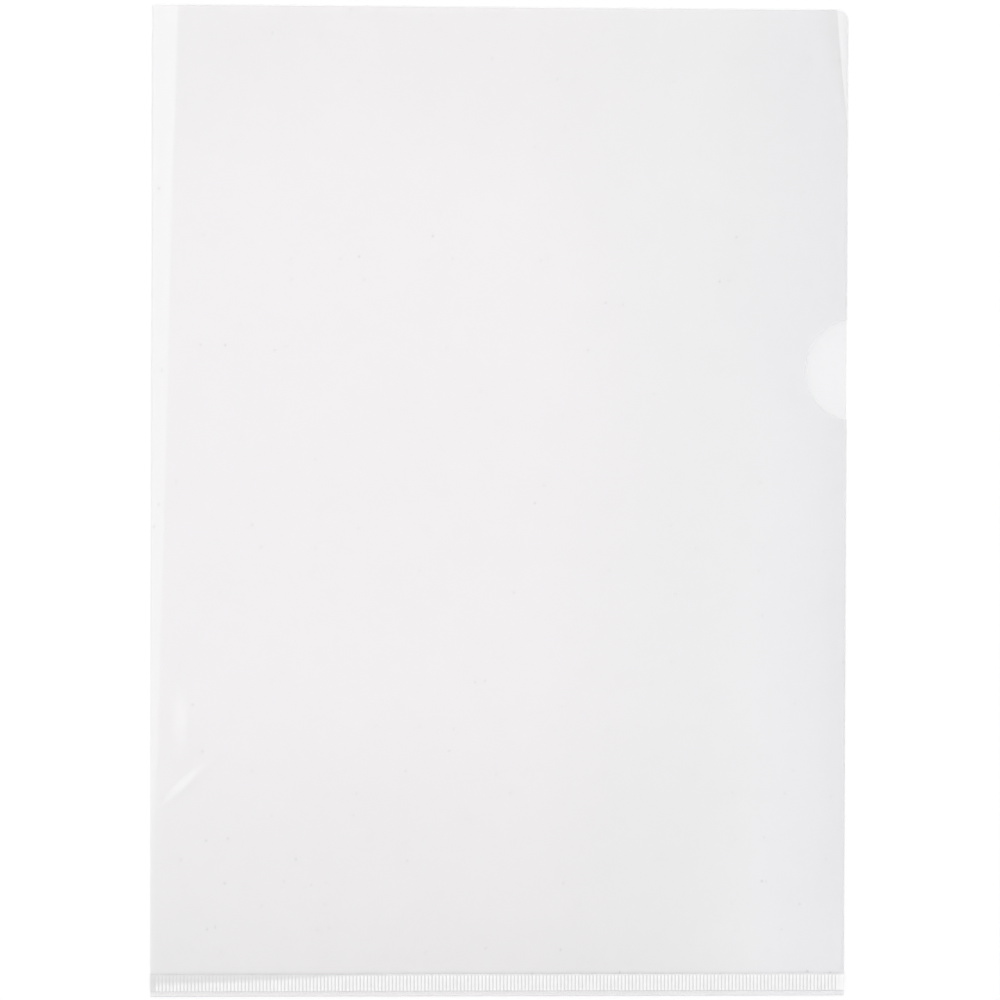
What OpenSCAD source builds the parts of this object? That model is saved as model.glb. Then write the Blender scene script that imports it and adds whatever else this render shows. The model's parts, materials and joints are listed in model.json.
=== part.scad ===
// Clear cut flush folder for A4 sheets.
// One clear film is folded along the left edge, welded with a ribbed bar along the bottom and left
// open along the top and the right, so that sheets slide in from two sides. A half-round thumb cut in
// the front leaf bares the sheets.
// The folder lies on its back leaf. X runs from the fold to the open edge, Y from the welded edge to
// the open top and Z up from the table. The origin is on the table under the middle of the folder.
// The front leaf is one bending sheet. Here it is cut along straight bend lines into flat strips, and
// each strip turns a little on the one before it as the open corner is peeled up.

/* [Film] */
// Width from the fold to the open edge
leaf_w = 218; // [200:1:260]
// Height from the welded edge to the open top
leaf_l = 310; // [280:1:370]
// Thickness of the film
film_t = 0.15; // [0.1:0.01:0.25]
// Radius of the open top corner of both leaves
corner_r = 3.2; // [1:0.1:10]

/* [Fold] */
// Clear gap between the leaves at the open top
mouth_gap = 2; // [1:0.1:4]
// Clear gap between the leaves where the weld holds them
seam_gap = 0.1; // [0.06:0.01:0.3]
// Inner radius of the crease, as a share of the clear gap beside it
crease_share = 0.4; // [0.3:0.01:0.45]
// Slope at which the front leaf leaves the crease, in degrees
band_slope = 5.6; // [4:0.1:12]

/* [Thumb cut] */
// Radius of the thumb cut
thumb_r = 16; // [10:0.5:22]
// Reach of the thumb cut in from the open edge
thumb_depth = 13; // [6:0.5:16]
// Distance from the open top down to the middle of the thumb cut
thumb_drop = 113; // [80:1:140]

/* [Weld] */
// Height of the ribbed weld
weld_h = 5.2; // [3:0.1:9]
// Height of the two film lips left below the weld
lip_h = 1.7; // [0.8:0.1:4]
// Distance from one rib to the next
rib_pitch = 1.125; // [0.9:0.005:2]
// Width of the flat top of a rib
rib_top_w = 0.4; // [0.2:0.05:0.5]
// Width of each sloping side of a rib
rib_side_w = 0.15; // [0.05:0.01:0.18]
// Depth of the grooves between the ribs
groove_depth = 0.12; // [0.04:0.01:0.2]
// Plain length left at each end of the row of ribs
rib_margin = 1.2; // [0.6:0.1:4]

/* [Peel] */
// Distance from the fold and weld's diagonal to the first bend line
peel_margin = 6; // [3:0.5:12]
// Plain film kept beside the thumb cut in its strip
thumb_clear = 4; // [2:0.5:8]
// Slit between neighbouring strips
slit = 0.02; // [0.01:0.01:0.05]

/* [Hidden] */
$fn = 96;
film_colour = [0.92, 0.92, 0.93, 0.55];
weld_colour = [0.96, 0.96, 0.97, 0.8];
bend_count = 3;
crease_steps = 7;
band_steps = 8;

weld_top = lip_h + weld_h;
panel_l = leaf_l - weld_top;
front_tilt = atan((mouth_gap - seam_gap) / panel_l);
front_z = film_t + seam_gap;
weld_t = front_z + film_t;
turn_angle = 180 - band_slope;

// Clear gap between the leaves at a height up the folder
function clear_gap(y) =
    y <= weld_top ? seam_gap : seam_gap + (mouth_gap - seam_gap) * (y - weld_top) / panel_l;
// Radius of the middle of the film round the crease, and the place of that radius's centre
function crease_radius(y) = film_t / 2 + crease_share * clear_gap(y);
function crease_centre(y) = film_t / 2 + crease_radius(y);
// A point of the crease at a radius from its centre, turned from the table round to the front
function crease_point(y, radius, turn) =
    [crease_centre(y) - radius * sin(turn), crease_centre(y) - radius * cos(turn)];
// Width of the band between the crease and the flat of the front leaf
function band_start(y) = crease_point(y, crease_radius(y), turn_angle);
function band_width(y) = 2 * (clear_gap(y) + 1.5 * film_t - band_start(y)[1]) / tan(band_slope);
function band_end_x(y) = band_start(y)[0] + band_width(y);
// A point of the band at a share of its width, offset to one side of the film's middle
function band_point(y, share, offset) =
    let (slope = atan(tan(band_slope) * (1 - share)))
    [band_start(y)[0] + band_width(y) * share - offset * sin(slope),
     band_start(y)[1] + band_width(y) * tan(band_slope) * (share - share * share / 2)
        + offset * cos(slope)];

// Closed outlines of a turn of the crease and of the band at a height up the folder
function crease_ring(y, from, to) = concat(
    [for (i = [0 : crease_steps])
        crease_point(y, crease_radius(y) + film_t / 2, from + (to - from) * i / crease_steps)],
    [for (i = [crease_steps : -1 : 0])
        crease_point(y, crease_radius(y) - film_t / 2, from + (to - from) * i / crease_steps)]);
function band_ring(y) = concat(
    [for (i = [0 : band_steps]) band_point(y, i / band_steps, film_t / 2)],
    [for (i = [band_steps : -1 : 0]) band_point(y, i / band_steps, -film_t / 2)]);

// Bend lines run along the diagonal from the top of the fold to the end of the weld. The distance
// of a point of the front leaf from that diagonal, towards the open corner, is its reach.
diagonal_w = leaf_w - band_end_x(leaf_l);
bend_angle = atan2(panel_l, diagonal_w);
thumb_x = leaf_w - thumb_depth + thumb_r;
thumb_v = panel_l - thumb_drop;
function reach_of(x, v) = (x - leaf_w) * sin(bend_angle) + v * cos(bend_angle);
thumb_end_v = thumb_v + sqrt(thumb_r * thumb_r - pow(thumb_r - thumb_depth, 2));
thumb_from = reach_of(thumb_x, thumb_v) - thumb_r - thumb_clear;
thumb_to = reach_of(leaf_w, thumb_end_v) + thumb_clear;
corner_reach = reach_of(leaf_w, panel_l);
// Reach of each bend line, from the fixed panel to the open corner
bend_lines = concat(
    [for (i = [0 : bend_count]) peel_margin + (thumb_from - peel_margin) * i / bend_count],
    [thumb_to]);

rib_w = rib_top_w + 2 * rib_side_w;
fold_w = crease_centre(lip_h);
weld_x = fold_w + slit;
rib_count = floor((leaf_w - weld_x - 2 * rib_margin - rib_w) / rib_pitch) + 1;
rib_row_w = (rib_count - 1) * rib_pitch + rib_w;
rib_x = (leaf_w + weld_x - rib_row_w) / 2;

// Moves the folder's lower left corner to its place
module placed() {
    translate([-leaf_w / 2, -leaf_l / 2, 0]) children();
}

// A film shell through closed outlines at several heights up the folder. Each outline runs along one
// face of the film and back along the other, so its ends are closed by strips between the two faces.
module ruled_shell(rings, heights) {
    n = len(rings[0]);
    last = (len(rings) - 1) * n;
    points = [for (k = [0 : len(rings) - 1]) for (p = rings[k]) [p[0], heights[k], p[1]]];
    sides = [for (k = [0 : len(rings) - 2]) for (j = [0 : n - 1])
        let (a = k * n + j, b = k * n + (j + 1) % n)
        each [[a, b + n, b], [a, a + n, b + n]]];
    ends = [for (j = [0 : n / 2 - 2])
        let (a = j, b = j + 1, c = n - 2 - j, d = n - 1 - j)
        each [[a, b, c], [a, c, d], [last + a, last + c, last + b], [last + a, last + d, last + c]]];
    polyhedron(points = points, faces = concat(sides, ends), convexity = 4);
}

// Both leaves have this cut outline, with one rounded corner at the open top
module leaf_outline() {
    difference() {
        square([leaf_w, leaf_l]);
        translate([leaf_w - corner_r, leaf_l - corner_r])
            difference() {
                square(2 * corner_r);
                circle(corner_r);
            }
    }
}

// The flat of the front leaf above the weld, with its thumb cut
module front_outline() {
    difference() {
        intersection() {
            translate([0, -weld_top]) leaf_outline();
            polygon([
                [band_end_x(weld_top), 0], [leaf_w, 0],
                [leaf_w, panel_l], [band_end_x(leaf_l), panel_l]
            ]);
        }
        translate([thumb_x, thumb_v]) circle(thumb_r);
    }
}

// The piece of the front leaf between two reaches, lying on its tilted plane
module front_strip(from, to) {
    span = leaf_w + leaf_l;
    placed()
        translate([0, weld_top, front_z])
            rotate([front_tilt, 0, 0])
                linear_extrude(film_t)
                    intersection() {
                        front_outline();
                        translate([leaf_w, 0])
                            rotate(-bend_angle)
                                translate([-span, from + slit / 2])
                                    square([2 * span, to - from - slit]);
                    }
}

module back_leaf() {
    color(film_colour)
        placed()
            linear_extrude(film_t)
                intersection() {
                    leaf_outline();
                    polygon([
                        [crease_centre(weld_top), weld_top], [leaf_w, weld_top],
                        [leaf_w, leaf_l], [crease_centre(leaf_l), leaf_l]
                    ]);
                }
}

// Half of the crease, which runs the whole height of the folder and is pressed flat at the weld
module spine_fold(from, to) {
    heights = [0, weld_top, leaf_l];
    color(film_colour)
        placed() ruled_shell([for (y = heights) crease_ring(y, from, to)], heights);
}

module front_spine_band() {
    heights = [weld_top, leaf_l];
    color(film_colour)
        placed() ruled_shell([for (y = heights) band_ring(y)], heights);
}

// The half of the front leaf that the fold and the weld hold down
module front_panel() {
    color(film_colour) front_strip(-leaf_w - leaf_l, bend_lines[0]);
}

module front_bend(i) {
    color(film_colour) front_strip(bend_lines[i - 1], bend_lines[i]);
}

module front_thumb_strip() {
    color(film_colour) front_strip(bend_lines[bend_count], bend_lines[bend_count + 1]);
}

module front_corner() {
    color(film_colour) front_strip(bend_lines[bend_count + 1], corner_reach + slit);
}

// Both films fused into one bar, with ribs pressed into its front face
module ribbed_weld() {
    groove_z = weld_t - groove_depth;
    rib_outline = [for (i = [0 : rib_count - 1])
        let (x = rib_x + i * rib_pitch)
        each [
            [x, groove_z], [x + rib_side_w, weld_t],
            [x + rib_side_w + rib_top_w, weld_t], [x + rib_w, groove_z]
        ]];
    color(weld_colour)
        placed()
            translate([0, weld_top, 0])
                rotate([90, 0, 0])
                    linear_extrude(weld_h)
                        polygon(concat(
                            [[leaf_w, 0], [weld_x, 0], [weld_x, groove_z]],
                            rib_outline,
                            [[leaf_w, groove_z]]));
}

// A strip of loose film below the weld, cut flush with the other one
module lip(z) {
    color(film_colour)
        placed() translate([weld_x, 0, z]) cube([leaf_w - weld_x, lip_h, film_t]);
}

back_leaf();
spine_fold(0, 90);  // spine_fold_back
spine_fold(90, turn_angle);  // spine_fold_front
front_spine_band();
front_panel();
front_bend(1);  // front_bend_1
front_bend(2);  // front_bend_2
front_bend(3);  // front_bend_3
front_thumb_strip();
front_corner();
ribbed_weld();
lip(front_z);  // front_lip
lip(0);  // back_lip
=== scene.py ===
import json
import math

import bmesh
import bpy
from mathutils import Matrix, Vector


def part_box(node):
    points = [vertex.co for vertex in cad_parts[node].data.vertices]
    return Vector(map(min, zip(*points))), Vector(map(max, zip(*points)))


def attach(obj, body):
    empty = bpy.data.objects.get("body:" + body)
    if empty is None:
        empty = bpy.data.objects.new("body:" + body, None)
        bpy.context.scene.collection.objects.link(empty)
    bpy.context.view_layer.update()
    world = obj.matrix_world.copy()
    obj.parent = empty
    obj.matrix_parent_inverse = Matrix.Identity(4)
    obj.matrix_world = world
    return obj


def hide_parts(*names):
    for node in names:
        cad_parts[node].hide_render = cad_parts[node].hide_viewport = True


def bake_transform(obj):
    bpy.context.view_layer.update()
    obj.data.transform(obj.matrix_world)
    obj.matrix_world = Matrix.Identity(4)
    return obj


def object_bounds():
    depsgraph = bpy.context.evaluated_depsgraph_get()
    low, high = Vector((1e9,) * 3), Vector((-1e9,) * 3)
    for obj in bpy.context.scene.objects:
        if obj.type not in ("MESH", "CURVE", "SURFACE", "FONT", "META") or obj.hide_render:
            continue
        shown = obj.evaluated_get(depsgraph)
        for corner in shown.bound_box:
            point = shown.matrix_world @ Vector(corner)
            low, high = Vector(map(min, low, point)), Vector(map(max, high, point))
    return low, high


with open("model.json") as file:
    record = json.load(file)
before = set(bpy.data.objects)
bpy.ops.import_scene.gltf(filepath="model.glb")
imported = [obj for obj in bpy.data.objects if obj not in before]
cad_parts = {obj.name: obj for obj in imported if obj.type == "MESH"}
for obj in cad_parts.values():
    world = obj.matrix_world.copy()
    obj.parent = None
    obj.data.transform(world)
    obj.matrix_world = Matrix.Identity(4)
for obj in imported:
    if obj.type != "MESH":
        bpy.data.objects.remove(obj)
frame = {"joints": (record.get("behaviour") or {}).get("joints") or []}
cad_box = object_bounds()

# Back leaf
# The rear half of the film blank, which lies flat on the table. It is clear polypropylene film, die cut
# along the top and the right with one rounded corner, and it runs on into the crease at its left.
MM = 0.001
LEFT, BOTTOM = cad_box[0].xy
RIGHT, TOP = cad_box[1].xy
LIP_TOP, WELD_TOP = (corner.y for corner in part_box("ribbed_weld"))
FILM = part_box("back_leaf")[1].z
SEAM_GAP = 0.1 * MM
MOUTH_GAP = 2 * MM
CREASE_SHARE = 0.4
CORNER_R = 3.2 * MM
CORNER_STEPS = 12
RIM = 0.2 * MM
FOLD_SIDE = LEFT + 2 * MM
SHARP = math.radians(40)
FILM_SLOT, CUT_SLOT, SEAM_SLOT = range(3)

CLOUD_SCALE = 14.0
STREAK_SCALE = 260.0
STREAK_DRAWN = (1, 0.2, 1)
WAVE_SCALE = 16.0
WAVE_DEPTH = 0.6 * MM
SPECK_SCALE = 143.0
SPECK_EDGE = (0.03, 0.075)
SPECK_CHANCE = (0.5, 0.9)
NICK_SCALE = 900.0
STREAK_SHARE = 0.008
SPECK_SHARE = 0.02
CUT_SHARE = 0.27
NICK_SHARE = 0.04
FILM_WHITE = (0.95, 0.95, 0.955, 1)
SPECK_GREY = (0.5, 0.5, 0.51, 1)
# Painted shade: the grey of the dark line along the film's cut edges.
CUT_EDGE_SHADE_GREY = (0.7, 0.7, 0.71, 1)
FRONT_CLEAR = (1, 1, 1, 1)
BACK_CLEAR = (0.9825, 0.9825, 0.9825, 1)
GLEAM = 0.046


class Value:
    """An output socket of a shader, on which Python's operators add Math nodes."""

    def __init__(self, shader, socket):
        self.shader = shader
        self.socket = socket

    def maths(self, operation, *values):
        return self.shader.node("ShaderNodeMath", {"operation": operation}, dict(enumerate(values)))

    def __add__(self, other):
        return self.maths("ADD", self, other)

    def __radd__(self, other):
        return self.maths("ADD", other, self)

    def __sub__(self, other):
        return self.maths("SUBTRACT", self, other)

    def __rsub__(self, other):
        return self.maths("SUBTRACT", other, self)

    def __mul__(self, other):
        return self.maths("MULTIPLY", self, other)

    def __rmul__(self, other):
        return self.maths("MULTIPLY", other, self)

    def __pow__(self, other):
        return self.maths("POWER", self, other)

    def step(self, low, high):
        """0 below low, 1 above high and a smooth step between them."""
        return self.shader.node(
            "ShaderNodeMapRange",
            {"interpolation_type": "SMOOTHSTEP"},
            {"Value": self, "From Min": low, "From Max": high},
        )


class Shader:
    """The nodes of a material or of the world."""

    def __init__(self, owner):
        owner.use_nodes = True
        self.tree = owner.node_tree
        self.tree.nodes.clear()

    def node(self, kind, settings=None, sockets=None, output=0):
        node = self.tree.nodes.new(kind)
        for name, value in (settings or {}).items():
            if name == "stops":
                self.set_stops(node.color_ramp.elements, value)
            else:
                setattr(node, name, value)
        for name, value in (sockets or {}).items():
            if isinstance(value, Value):
                self.tree.links.new(value.socket, node.inputs[name])
            else:
                node.inputs[name].default_value = value
        return Value(self, node.outputs[output]) if node.outputs else None

    def set_stops(self, elements, stops):
        elements.remove(elements[1])
        elements[0].position, elements[0].color = stops[0]
        for position, colour in stops[1:]:
            elements.new(position).color = colour

    def noise(self, place, scale, detail=2.0):
        return self.node("ShaderNodeTexNoise", sockets={"Vector": place, "Scale": scale, "Detail": detail})

    def see_through(self, share, clear, solid):
        """Ends a material of which a share is solid and the rest lets light through."""
        open_part = self.node("ShaderNodeBsdfTransparent", sockets={"Color": clear})
        mixed = self.node("ShaderNodeMixShader", sockets={0: share, 1: open_part, 2: solid})
        self.node("ShaderNodeOutputMaterial", sockets={"Surface": mixed})


def film_finish(name, clear, mirror=FILM_WHITE):
    """Clear film, which mirrors a little, more at a flat angle, with drawn streaks and a few specks."""
    material = bpy.data.materials.new(name)
    shader = Shader(material)
    place = shader.node("ShaderNodeTexCoord", output="Object")
    drawn = shader.node("ShaderNodeMapping", sockets={"Vector": place, "Scale": STREAK_DRAWN})
    facing = shader.node("ShaderNodeLayerWeight", sockets={"Blend": 0.5}, output="Facing")
    clouds = shader.noise(place, CLOUD_SCALE, 1.0)
    streaks = shader.noise(drawn, STREAK_SCALE)
    nearest, chance = (
        shader.node(
            "ShaderNodeTexVoronoi",
            {"voronoi_dimensions": "2D"},
            {"Vector": place, "Scale": SPECK_SCALE},
            output=part,
        )
        for part in ("Distance", "Color")
    )
    specks = (1 - nearest.step(*SPECK_EDGE)) * chance.step(*SPECK_CHANCE)
    waves = shader.noise(place, WAVE_SCALE, 0.0)
    bump = shader.node(
        "ShaderNodeBump", sockets={"Strength": 0.5, "Distance": WAVE_DEPTH, "Height": waves}
    )
    colour = shader.node(
        "ShaderNodeMix", {"data_type": "RGBA"}, {0: specks, 6: mirror, 7: SPECK_GREY}, output=2
    )
    film = shader.node(
        "ShaderNodeBsdfPrincipled",
        sockets={
            "Base Color": colour,
            "Metallic": 0.8,
            "Roughness": 0.02 + 0.03 * clouds,
            "Normal": bump,
        },
    )
    gleam = GLEAM + (1 - GLEAM) * facing ** 5
    shader.see_through(gleam + STREAK_SHARE * streaks + SPECK_SHARE * specks, clear, film)
    return material


def cut_edge_shade_finish(name):
    """The die-cut edge, a grey rim of painted shade for the dark line along the film's cut edge."""
    material = bpy.data.materials.new(name)
    shader = Shader(material)
    place = shader.node("ShaderNodeTexCoord", output="Object")
    nicks = shader.noise(place, NICK_SCALE)
    # The grey edge is painted shade, the dark line that the cut edge shows; nicks vary it.
    edge = shader.node(
        "ShaderNodeBsdfPrincipled",
        sockets={"Base Color": CUT_EDGE_SHADE_GREY, "Roughness": 0.4 + 0.2 * nicks, "Specular IOR Level": 0.2},
    )
    shader.see_through(CUT_SHARE + NICK_SHARE * nicks, FRONT_CLEAR, edge)
    return material


def seam_finish(name):
    """Where one film runs on from piece to piece there is no wall to see."""
    material = bpy.data.materials.new(name)
    shader = Shader(material)
    wall = shader.node("ShaderNodeBsdfPrincipled", sockets={"Base Color": FILM_WHITE, "Alpha": 0.0})
    shader.node("ShaderNodeOutputMaterial", sockets={"Surface": wall})
    return material


back_film = film_finish("clear_film_back", BACK_CLEAR)
front_film = film_finish("clear_film_front", FRONT_CLEAR)
painted_cut_shade = cut_edge_shade_finish("die_cut_edge_painted_shade")
film_seam = seam_finish("film_runs_on")


def clear_gap(y):
    """Clear gap between the two leaves at a height up the folder."""
    return SEAM_GAP + (MOUTH_GAP - SEAM_GAP) * max(0, (y - WELD_TOP) / (TOP - WELD_TOP))


def fold_radius(y):
    """Outer radius of the crease, which touches the table and the folder's left side."""
    return FILM + CREASE_SHARE * clear_gap(y)


def leaf_face(left_low, left_high, thumb_r=0, thumb=None, thumb_steps=48):
    """The flat face of a leaf above the weld, with a rim where it is cut and a thumb cut if it has one."""
    bm = bmesh.new()
    corners = ((left_high, TOP), (left_low, WELD_TOP), (RIGHT, WELD_TOP))
    outline = [bm.verts.new((*corner, 0)) for corner in corners]
    if thumb_r:
        half = math.acos((thumb.x - RIGHT) / thumb_r)
        start = bm.verts.new((RIGHT, thumb.y - thumb_r * math.sin(half), 0))
        bmesh.ops.spin(bm, geom=[start], cent=thumb, axis=(0, 0, -1), angle=2 * half, steps=thumb_steps)
        outline += bm.verts[len(outline):]
    corner = bm.verts.new((RIGHT, TOP, 0))
    bm.faces.new(outline + [corner])
    bmesh.ops.bevel(
        bm,
        geom=[corner],
        offset=CORNER_R,
        affect="VERTICES",
        segments=CORNER_STEPS,
        profile=0.5,
        material=-1,
    )
    rim = bmesh.ops.inset_region(
        bm, faces=bm.faces[:], thickness=RIM, use_boundary=True, use_even_offset=True
    )
    # The rim along a cut edge takes the die-cut edge's painted shade.
    for face in rim["faces"]:
        middle = face.calc_center_median()
        is_cut = middle.x > FOLD_SIDE and middle.y > WELD_TOP + RIM
        face.material_index = CUT_SLOT if is_cut else FILM_SLOT
    return bm


def thicken_leaf(bm, is_seam):
    """Gives a leaf face its thickness, with cut walls and with hidden walls where the film runs on."""
    bmesh.ops.solidify(bm, geom=bm.faces[:], thickness=FILM)
    bmesh.ops.recalc_face_normals(bm, faces=bm.faces[:])
    for face in bm.faces:
        if abs(face.normal.z) < 0.5:
            face.material_index = SEAM_SLOT if is_seam(face.calc_center_median()) else CUT_SLOT
        elif face.normal.z < 0:
            face.material_index = FILM_SLOT


def new_piece(name, bm, *materials):
    """Makes an object at the origin from a finished mesh, smooth but for its sharp edges."""
    for face in bm.faces:
        face.smooth = True
    for edge in bm.edges:
        edge.smooth = edge.is_manifold and edge.calc_face_angle() < SHARP
    mesh = bpy.data.meshes.new(name)
    bm.to_mesh(mesh)
    bm.free()
    for material in materials:
        mesh.materials.append(material)
    piece = bpy.data.objects.new(name, mesh)
    bpy.context.scene.collection.objects.link(piece)
    return piece


def held_edge(point):
    """Whether a place lies where the crease or the weld holds the leaf."""
    return point.x < FOLD_SIDE or point.y < WELD_TOP + RIM / 2


bm = leaf_face(LEFT + fold_radius(WELD_TOP), LEFT + fold_radius(TOP))
bmesh.ops.translate(bm, verts=bm.verts[:], vec=(0, 0, FILM))
thicken_leaf(bm, held_edge)
rear_leaf = new_piece("rear_leaf", bm, back_film, painted_cut_shade, film_seam)
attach(rear_leaf, "folder")
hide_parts("back_leaf")

# Crease
# The film is creased along the left and springs back a little, so the crease is a narrow cone: pressed
# flat at the weld and a little open at the top. It is the same film as the leaves, in one piece with them.
BAND_SLOPE = math.radians(5.6)
CREASE_TURN = math.pi - BAND_SLOPE
CREASE_STEPS = 24
CREASE_CLEAR = (0.99, 0.99, 0.99, 1)
CREASE_GREY = (0.9, 0.9, 0.905, 1)

low_r = fold_radius(WELD_TOP)
bm = bmesh.new()
seed = bm.verts.new((LEFT + low_r, BOTTOM, 0))
bmesh.ops.spin(
    bm,
    geom=[seed],
    cent=(LEFT + low_r, BOTTOM, low_r),
    axis=(0, 1, 0),
    angle=CREASE_TURN,
    steps=CREASE_STEPS,
)
edges = bm.edges[:]
for y, below, widening in ((WELD_TOP, BOTTOM, 1), (TOP, WELD_TOP, fold_radius(TOP) / low_r)):
    grown = bmesh.ops.extrude_edge_only(bm, edges=edges)["geom"]
    edges = [part for part in grown if isinstance(part, bmesh.types.BMEdge)]
    verts = [part for part in grown if isinstance(part, bmesh.types.BMVert)]
    bmesh.ops.translate(bm, verts=verts, vec=(0, y - below, 0))
    bmesh.ops.scale(
        bm, verts=verts, vec=(widening, 1, widening), space=Matrix.Translation((-LEFT, 0, 0))
    )
bm.normal_update()
if bm.faces[:][CREASE_STEPS // 2].normal.x > 0:
    bmesh.ops.reverse_faces(bm, faces=bm.faces[:])
bmesh.ops.solidify(bm, geom=bm.faces[:], thickness=FILM)
bmesh.ops.recalc_face_normals(bm, faces=bm.faces[:])
for face in bm.faces:
    depths = []
    for vert in face.verts:
        radius = fold_radius(vert.co.y)
        depths.append(radius - math.hypot(vert.co.x - LEFT - radius, vert.co.z - radius))
    if max(depths) - min(depths) > FILM / 2:
        face.material_index = CUT_SLOT if abs(face.normal.y) > 0.5 else SEAM_SLOT
crease_film = film_finish("clear_film_creased", CREASE_CLEAR, CREASE_GREY)
crease = new_piece("crease", bm, crease_film, painted_cut_shade, film_seam)
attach(crease, "folder")
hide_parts("spine_fold_back", "spine_fold_front")

# Front leaf
# The front half of the blank, with the half-round thumb cut. It rises from the crease in a narrow curved
# band, buckles a little beside it and sags at its free corner. It is cut into strips, split midway between
# its bend lines.
THUMB_R = 16 * MM
THUMB_DEPTH = 13 * MM
THUMB_DROP = 113 * MM
THUMB = Vector((RIGHT - THUMB_DEPTH + THUMB_R, TOP - THUMB_DROP, 0))
BAND_STEPS = 10
BEND_STEPS = 12
SAG_W = 16.2 * MM
SAG_L = 38 * MM
SAG_DROP = 0.97 * MM
SAG_STEPS = 18
CURL_W = 10 * MM
CURL_DROP = 0.1 * MM
CURL_STEPS = 8
BUCKLES = (
    (Vector((LEFT + 12.5 * MM, BOTTOM + 67.3 * MM)), math.radians(44), 8 * MM, 1.6 * MM, 0.1 * MM),
    (Vector((LEFT + 12.8 * MM, BOTTOM + 87 * MM)), math.radians(90), 14 * MM, 4 * MM, 0.1 * MM),
)
BUCKLE_STEPS = 5
NEAR = 1e-7
MERGE = 0.01 * MM


def band_line(y):
    """Where the band starts at a height up the folder, and its width."""
    radius = fold_radius(y)
    middle = radius - FILM / 2
    start_x = radius - middle * math.sin(CREASE_TURN)
    start_z = radius - middle * math.cos(CREASE_TURN)
    width = 2 * (clear_gap(y) + 1.5 * FILM - start_z) / math.tan(BAND_SLOPE)
    return LEFT + start_x, start_z, width


def front_height(x, y):
    """Height of the middle of the front leaf's film."""
    start_x, start_z, width = band_line(y)
    share = min(1, (x - start_x) / width)
    height = start_z + width * math.tan(BAND_SLOPE) * (share - share * share / 2)
    sag = max(0, 1 - (TOP - y) / SAG_L)
    inward = max(0, RIGHT - x)
    if inward < SAG_W * sag:
        height -= SAG_DROP * sag * (1 - inward / (SAG_W * sag)) ** 4
    if inward < CURL_W:
        curl = min(CURL_DROP, (clear_gap(y) - SEAM_GAP) / 2) * (1 - sag)
        height -= curl * (1 - inward / CURL_W) ** 2
    for place, turn, length, half_width, rise in BUCKLES:
        offset = Matrix.Rotation(-turn, 2) @ (Vector((x, y)) - place)
        height += rise * math.exp(-((offset.x / length) ** 2) - (offset.y / half_width) ** 2)
    return height


def cut(bm, point, across, drop=None):
    """Cuts a flat mesh along an upright plane and drops what lies behind it or beyond it if asked."""
    bmesh.ops.bisect_plane(
        bm,
        geom=bm.verts[:] + bm.edges[:] + bm.faces[:],
        dist=NEAR,
        plane_co=(*point, 0),
        plane_no=(*across, 0),
        clear_inner=drop == "behind",
        clear_outer=drop == "beyond",
    )


def cut_between(bm, start, end):
    """Cuts a flat mesh along the line through two points."""
    along = Vector(end) - Vector(start)
    cut(bm, start, along.orthogonal().normalized())


bend_axis = Vector(frame["joints"][0]["axis"]).to_2d().normalized()
bend_out = Vector((-bend_axis.y, bend_axis.x))
held_corner = Vector((RIGHT, WELD_TOP))


def reach_of(point):
    """How far a point lies from the diagonal that the fold and the weld hold."""
    return bend_out.dot(point.to_2d() - held_corner)


def bend_point(reach):
    """The point at a reach on the line that runs out from the end of the weld."""
    return held_corner + bend_out * reach


hinges = [reach_of(Vector(joint["pos_m"])) for joint in frame["joints"]]
seams = [(a + b) / 2 for a, b in zip(hinges, hinges[1:])]
bends = [*zip([hinges[0], *seams], seams), (seams[-1], 2 * hinges[-1] - seams[-1])]
STRIPS = (
    ("front_panel_strip", "folder", "bend_1", ("front_panel", "front_spine_band")),
    ("front_first_strip", "bend_1", "bend_2", ("front_bend_1",)),
    ("front_second_strip", "bend_2", "bend_3", ("front_bend_2",)),
    ("front_thumb_cut_strip", "bend_3", "thumb_strip", ("front_bend_3",)),
    ("front_corner_strip", "thumb_strip", "corner", ("front_thumb_strip", "front_corner")),
)

leaf = leaf_face(band_line(WELD_TOP)[0], band_line(TOP)[0], THUMB_R, THUMB)
for i in range(1, BAND_STEPS + 2):
    ends = [(band_line(y)[0] + band_line(y)[2] * i / BAND_STEPS, y) for y in (WELD_TOP, TOP)]
    cut_between(leaf, *ends)
for start, end in bends:
    for i in range(BEND_STEPS + 1):
        cut(leaf, bend_point(start + (end - start) * i / BEND_STEPS), bend_out)
for i in range(1, SAG_STEPS + 2):
    cut_between(leaf, (RIGHT, TOP - SAG_L), (RIGHT - SAG_W * i / SAG_STEPS, TOP))
for i in range(1, CURL_STEPS + 1):
    cut(leaf, (RIGHT - CURL_W * i / CURL_STEPS, 0), (1, 0))
for place, turn, length, half_width, _ in BUCKLES:
    for way_turn, reach in ((turn, length), (turn + math.pi / 2, half_width)):
        way = Vector((math.cos(way_turn), math.sin(way_turn)))
        for i in range(-BUCKLE_STEPS, BUCKLE_STEPS + 1):
            cut(leaf, place + way * (2 * reach * i / BUCKLE_STEPS), way)
bmesh.ops.remove_doubles(leaf, verts=leaf.verts[:], dist=MERGE)
for vert in leaf.verts:
    vert.co.z = front_height(vert.co.x, vert.co.y) + FILM / 2


def runs_on(point):
    """Whether a place lies where a strip of the front leaf runs on into its neighbour."""
    return held_edge(point) or any(abs(reach_of(point) - seam) < 10 * NEAR for seam in seams)


for i, (name, body, next_body, nodes) in enumerate(STRIPS):
    bm = leaf.copy()
    if i > 0:
        cut(bm, bend_point(seams[i - 1]), bend_out, drop="behind")
    if i < len(seams):
        cut(bm, bend_point(seams[i]), bend_out, drop="beyond")
    thicken_leaf(bm, runs_on)
    strip = new_piece(name, bm, front_film, painted_cut_shade, film_seam)
    start, end = bends[i]
    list(bend_point(start))
    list(bend_point(end))
    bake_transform(strip)
    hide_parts(*nodes)
leaf.free()
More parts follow.
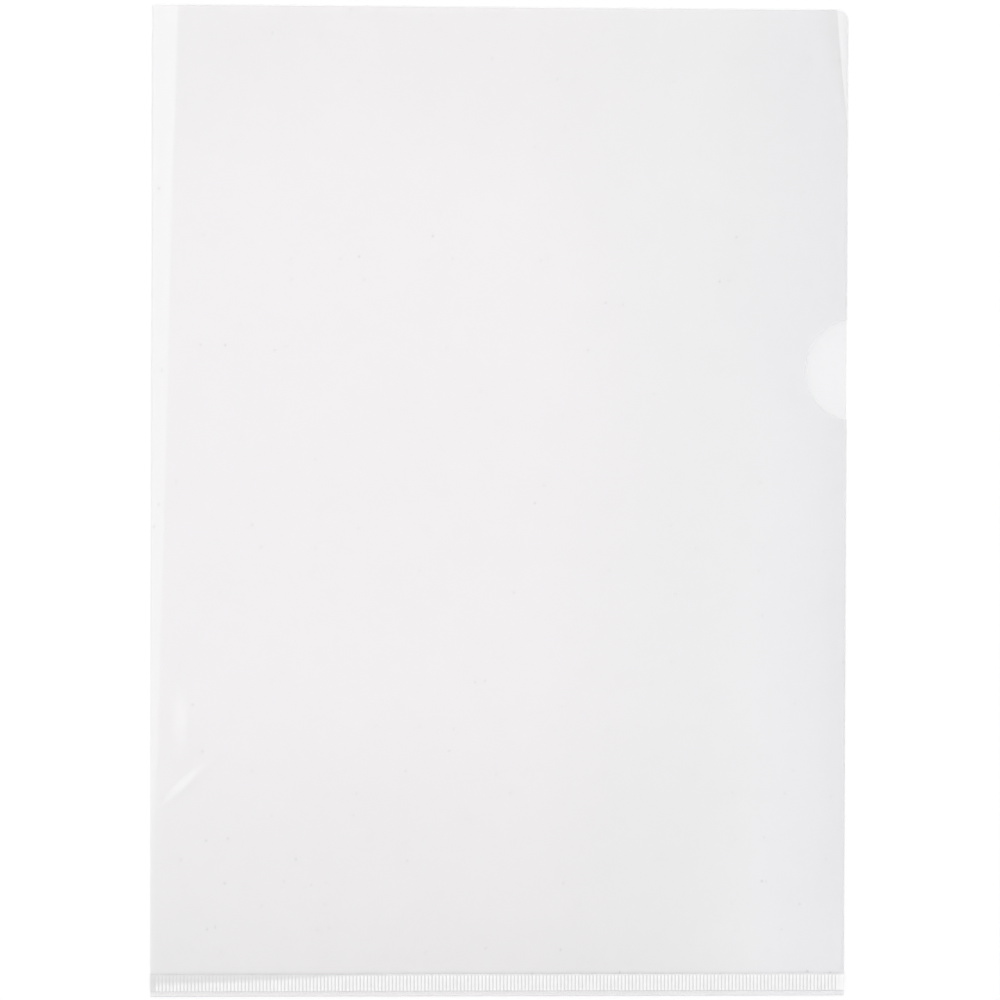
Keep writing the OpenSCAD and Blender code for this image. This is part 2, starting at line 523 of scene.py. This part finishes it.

# Ribbed weld
# Both films fused into one milky bar by a heated tool, whose teeth leave a close row of upright ribs with
# hollows between, painted grey as the shade in them; their bottom ends and the bar's top ledge are painted
# grey as shade too. Towards the fold the tool pressed less, so the ribs fade out before the bar's top, and
# there the bar is painted a darker grey for its greyer reflection.
RIB_PITCH = 1.125 * MM
RIB_W = 0.7 * MM
RIB_MARGIN = 1.2 * MM
GROOVE_DEPTH = 0.12 * MM
RIB_PROFILE = ((0, 0), (0.1, 0.45), (0.25, 0.92), (0.5, 1), (0.75, 0.92), (0.9, 0.45), (1, 0))
RIB_LENGTHWISE = (
    (0, 0), (0.05, 0.7), (0.12, 1), (0.3, 1), (0.45, 1), (0.6, 1), (0.75, 1), (0.86, 1), (0.92, 0.7), (1, 0)
)
END_SHADE_LOW, END_SHADE_HIGH = 0.05, 0.92
SLACK_REACH = 95 * MM
SLACK_HEIGHT = 0.45
FULL_HEIGHT = 1.1
SLACK_FADE = 0.12
SLACK_RISE = 0.3
GROOVE_FLOOR = 0.95
MILK_SCALE = 300.0
GRAIN_SCALE = 4000.0
GRAIN_DEPTH = 0.02 * MM
RIB_SHARE = 0.93
GROOVE_SHARE = 0.84
RIB_SLOT, GROOVE_SLOT, GROOVE_END_SLOT, LEDGE_SLOT, UNDER_SLOT = range(5)
RIB_WHITE = (0.96, 0.96, 0.963, 1)
# Painted reflection: a darker grey where the tool pressed less, for the greyer reflection of that flatter
# part.
SLACK_REFLECTION_GREY = (0.77, 0.77, 0.775, 1)
# Painted shade: greys for the hollows between the ribs, their bottom ends and the step of the top ledge.
GROOVE_SHADE_GREY = (0.785, 0.785, 0.79, 1)
BAR_END_SHADE_GREY = (0.785, 0.785, 0.79, 1)
LEDGE_SHADE_GREY = (0.865, 0.865, 0.87, 1)


def fused_finish(name, pressed_colour, slack_colour, share):
    """Fused film mixed from a colour where the tool pressed it and one where it pressed less: milky white
    on ribs, else painted shade or a painted greyer reflection.
    """
    material = bpy.data.materials.new(name)
    shader = Shader(material)
    place = shader.node("ShaderNodeTexCoord", output="Object")
    pressed = shader.node("ShaderNodeAttribute", {"attribute_name": "pressed"}, output="Fac")
    cloud = shader.noise(place, MILK_SCALE)
    colour = shader.node(
        "ShaderNodeMix", {"data_type": "RGBA"}, {0: pressed, 6: slack_colour, 7: pressed_colour}, output=2
    )
    grain = shader.noise(place, GRAIN_SCALE)
    bump = shader.node(
        "ShaderNodeBump", sockets={"Strength": 0.3, "Distance": GRAIN_DEPTH, "Height": grain}
    )
    plastic = shader.node(
        "ShaderNodeBsdfPrincipled",
        sockets={"Base Color": colour, "Roughness": 0.25 + 0.2 * cloud, "Normal": bump},
    )
    shader.see_through(share - 0.05 + 0.1 * cloud, FRONT_CLEAR, plastic)
    return material


def smooth_step(value, low, high):
    """0 below low, 1 above high and a smooth step between them."""
    share = min(1, max(0, (value - low) / (high - low)))
    return share * share * (3 - 2 * share)


def pressed_share(x, height):
    """How hard the tool pressed at a place along the bar and at a share of its height."""
    along_bar = smooth_step(x, LEFT, LEFT + SLACK_REACH)
    full = SLACK_HEIGHT + (FULL_HEIGHT - SLACK_HEIGHT) * along_bar
    return 1 - smooth_step(height, full - SLACK_FADE, full + SLACK_FADE)


weld_low, weld_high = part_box("ribbed_weld")
weld_w, weld_h = weld_high.x - weld_low.x, weld_high.y - weld_low.y
rib_count = int((weld_w - 2 * RIB_MARGIN - RIB_W) / RIB_PITCH) + 1
rib_start = (weld_low.x + weld_high.x - (rib_count - 1) * RIB_PITCH - RIB_W) / 2
columns = [(weld_low.x, 0)]
for i in range(rib_count):
    columns += [(rib_start + i * RIB_PITCH + RIB_W * share, rise) for share, rise in RIB_PROFILE]
columns.append((weld_high.x, 0))

bm = bmesh.new()
press_layer = bm.verts.layers.float.new("pressed")
bmesh.ops.create_grid(bm, x_segments=len(columns) - 1, y_segments=len(RIB_LENGTHWISE) - 1, size=0.5)
for vert in bm.verts:
    x, across = columns[round((vert.co.x + 0.5) * (len(columns) - 1))]
    share, along = RIB_LENGTHWISE[round((vert.co.y + 0.5) * (len(RIB_LENGTHWISE) - 1))]
    vert[press_layer] = pressed_share(x, share)
    rise = across * along * (SLACK_RISE + (1 - SLACK_RISE) * vert[press_layer])
    vert.co = (x, weld_low.y + weld_h * share, weld_high.z - GROOVE_DEPTH * (1 - rise))
for face in bm.faces:
    middle = face.calc_center_median()
    height = (middle.y - weld_low.y) / weld_h
    is_end = middle.x > columns[-2][0]
    # The top ledge, the hollows and their bottom ends take the painted-shade greys.
    if height > END_SHADE_HIGH:
        face.material_index = LEDGE_SLOT
    elif is_end or max(vert.co.z for vert in face.verts) > weld_high.z - GROOVE_DEPTH * GROOVE_FLOOR:
        face.material_index = RIB_SLOT
    else:
        face.material_index = GROOVE_END_SLOT if height < END_SHADE_LOW else GROOVE_SLOT
under = bmesh.ops.extrude_face_region(bm, geom=bm.faces[:])["geom"]
for part in under:
    if isinstance(part, bmesh.types.BMVert):
        part.co.z = 0
bmesh.ops.dissolve_faces(bm, faces=[part for part in under if isinstance(part, bmesh.types.BMFace)])
bmesh.ops.recalc_face_normals(bm, faces=bm.faces[:])
for face in bm.faces:
    if abs(face.normal.z) < 0.1 or face.normal.z < -0.5:
        face.material_index = UNDER_SLOT
# The fused finishes paint shade in the hollows, at their ends and on the ledge, and a greyer reflection
# where the tool pressed less.
weld = new_piece(
    "weld_bar",
    bm,
    fused_finish("fused_rib_slack_painted_reflection", RIB_WHITE, SLACK_REFLECTION_GREY, RIB_SHARE),
    fused_finish("fused_hollow_painted_shade", GROOVE_SHADE_GREY, SLACK_REFLECTION_GREY, GROOVE_SHARE),
    fused_finish("fused_hollow_end_painted_shade", BAR_END_SHADE_GREY, BAR_END_SHADE_GREY, GROOVE_SHARE),
    fused_finish("fused_ledge_painted_shade", LEDGE_SHADE_GREY, BAR_END_SHADE_GREY, GROOVE_SHARE),
    back_film,
)
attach(weld, "folder")
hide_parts("ribbed_weld")

# Lips
# Below the weld the two films are left as a pair of narrow loose lips, trimmed flush in one cut. The rear
# one lies on the table, and the front one springs up a little.
LIP_SPRING = 0.03
LIP_CLEAR = (0.995, 0.995, 0.995, 1)

lip_film = film_finish("clear_film_lip", LIP_CLEAR)
for name, node, spring in (("front_lip_film", "front_lip", LIP_SPRING), ("rear_lip_film", "back_lip", 0)):
    low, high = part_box(node)
    bm = bmesh.new()
    corners = [(low.x, low.y), (high.x, low.y), (high.x, high.y), (low.x, high.y)]
    bm.faces.new([bm.verts.new((x, y, high.z)) for x, y in corners])
    bmesh.ops.bisect_plane(
        bm,
        geom=bm.verts[:] + bm.edges[:] + bm.faces[:],
        plane_co=(0, low.y + RIM, 0),
        plane_no=(0, 1, 0),
    )
    for face in bm.faces:
        face.material_index = CUT_SLOT if face.calc_center_median().y < low.y + RIM else FILM_SLOT
    for vert in bm.verts:
        vert.co.z += spring * (LIP_TOP - vert.co.y)
    thicken_leaf(bm, lambda point: point.y > LIP_TOP - RIM / 2 or point.x < FOLD_SIDE)
    lip = new_piece(name, bm, lip_film, painted_cut_shade, film_seam)
    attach(lip, "folder")
    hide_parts(node)

# Table, light and camera
# The folder lies on a white table in a white light tent. The camera looks straight down through a slit in
# the tent's top, and that slit, a soft dark stripe between the bright cloths, is what the film mirrors.
TABLE_SIZE = 6.0
TABLE_DROP = 0.1 * MM
TABLE_WHITE = (0.97, 0.97, 0.97, 1)
TENT_TOP = 1.015
TENT_FOOT = 0.75
SLIT_REACH = 0.5
SLIT_LIGHT = (
    (-0.50, (1.56, 1.53, 1.54)),
    (-0.128, (1.56, 1.53, 1.54)),
    (-0.112, (0.99, 0.92, 0.95)),
    (-0.02, (1.02, 0.91, 0.94)),
    (0.04, (1.00, 0.90, 0.93)),
    (0.12, (0.71, 0.72, 0.75)),
    (0.16, (0.50, 0.52, 0.64)),
    (0.25, (0.00, 0.00, 0.00)),
    (0.362, (0.00, 0.00, 0.00)),
    (0.372, (1.66, 1.66, 1.66)),
    (0.45, (1.66, 1.66, 1.66)),
    (0.50, (1.00, 1.00, 1.00)),
)
WALL_RISE = (0.0, 0.5)
SLIT_EDGE = (0.75, 0.9)
CLOTH_EDGE = (-0.13, -0.11)
SHADED_SIDE = (0.06, 0.14)
SOFTBOX_SIZE = 0.6
SOFTBOX_WATTS = 4
SOFTBOX_AT = Vector((-0.25, 0.85, 1.35))
SENSOR_W = 36
LENS_LENGTH = 91.86
CAMERA_AT = (-0.02168, 0.00814, 0.8)
CAMERA_TURN = (-0.53, -1.561, 0.184)
FILM_CROSSINGS = 48

bm = bmesh.new()
bmesh.ops.create_grid(bm, x_segments=1, y_segments=1, size=TABLE_SIZE)
bmesh.ops.translate(bm, verts=bm.verts[:], vec=(0, 0, -TABLE_DROP))
paint = bpy.data.materials.new("table_white")
shader = Shader(paint)
matt = shader.node("ShaderNodeBsdfDiffuse", sockets={"Color": TABLE_WHITE})
shader.node("ShaderNodeOutputMaterial", sockets={"Surface": matt})
table = new_piece("table", bm, paint)

world = bpy.data.worlds.new("light_tent")
shader = Shader(world)
direction = shader.node("ShaderNodeTexCoord", output="Generated")
across, along, height = (
    shader.node("ShaderNodeSeparateXYZ", sockets={0: direction}, output=axis) for axis in "XYZ"
)
wall = shader.node(
    "ShaderNodeVectorMath",
    {"operation": "SCALE"},
    {0: (1, 1, 1), "Scale": TENT_FOOT + (TENT_TOP - TENT_FOOT) * height.step(*WALL_RISE)},
)
stripe = shader.node(
    "ShaderNodeValToRGB",
    {"stops": [((x + SLIT_REACH) / (2 * SLIT_REACH), (*light, 1)) for x, light in SLIT_LIGHT]},
    {0: (across + SLIT_REACH) * (0.5 / SLIT_REACH)},
)
inside = across.step(*CLOTH_EDGE)
middle = inside - 0.85 * across.step(*SHADED_SIDE)
low_end = 0.28 * (1 - along.step(-0.165, -0.085)) + 0.22 * (1 - along.step(-0.2, -0.165))
high_end = 0.26 * along.step(0.08, 0.18)
fading = 0.08 * (1 - along.step(0.0, 0.16)) + 0.48 * (1 - along.step(-0.18, -0.1))
leaning = across.step(0.09, 0.14) * (0.22 - 0.4 * along.step(-0.06, 0.16))
dimmed = 1 - middle * (low_end + high_end) - (1 - inside) * fading + leaning
slit = shader.node("ShaderNodeVectorMath", {"operation": "SCALE"}, {0: stripe, "Scale": dimmed})
tent = shader.node(
    "ShaderNodeMix", {"data_type": "RGBA"}, {0: height.step(*SLIT_EDGE), 6: wall, 7: slit}, output=2
)
glow = shader.node("ShaderNodeBackground", sockets={"Color": tent})
shader.node("ShaderNodeOutputWorld", sockets={"Surface": glow})
bpy.context.scene.world = world

softbox = bpy.data.lights.new("softbox", "AREA")
softbox.size = SOFTBOX_SIZE
softbox.energy = SOFTBOX_WATTS
softbox_stand = bpy.data.objects.new("softbox", softbox)
softbox_stand.location = SOFTBOX_AT
softbox_stand.rotation_euler = (-SOFTBOX_AT).to_track_quat("-Z", "Y").to_euler()
bpy.context.scene.collection.objects.link(softbox_stand)

lens = bpy.data.cameras.new("camera")
lens.sensor_width = SENSOR_W
lens.lens = LENS_LENGTH
camera = bpy.data.objects.new("camera", lens)
camera.location = CAMERA_AT
camera.rotation_euler = [math.radians(turn) for turn in CAMERA_TURN]
bpy.context.scene.collection.objects.link(camera)
bpy.context.scene.camera = camera
bpy.context.scene.view_settings.view_transform = "Standard"
bpy.context.scene.cycles.transparent_max_bounces = FILM_CROSSINGS
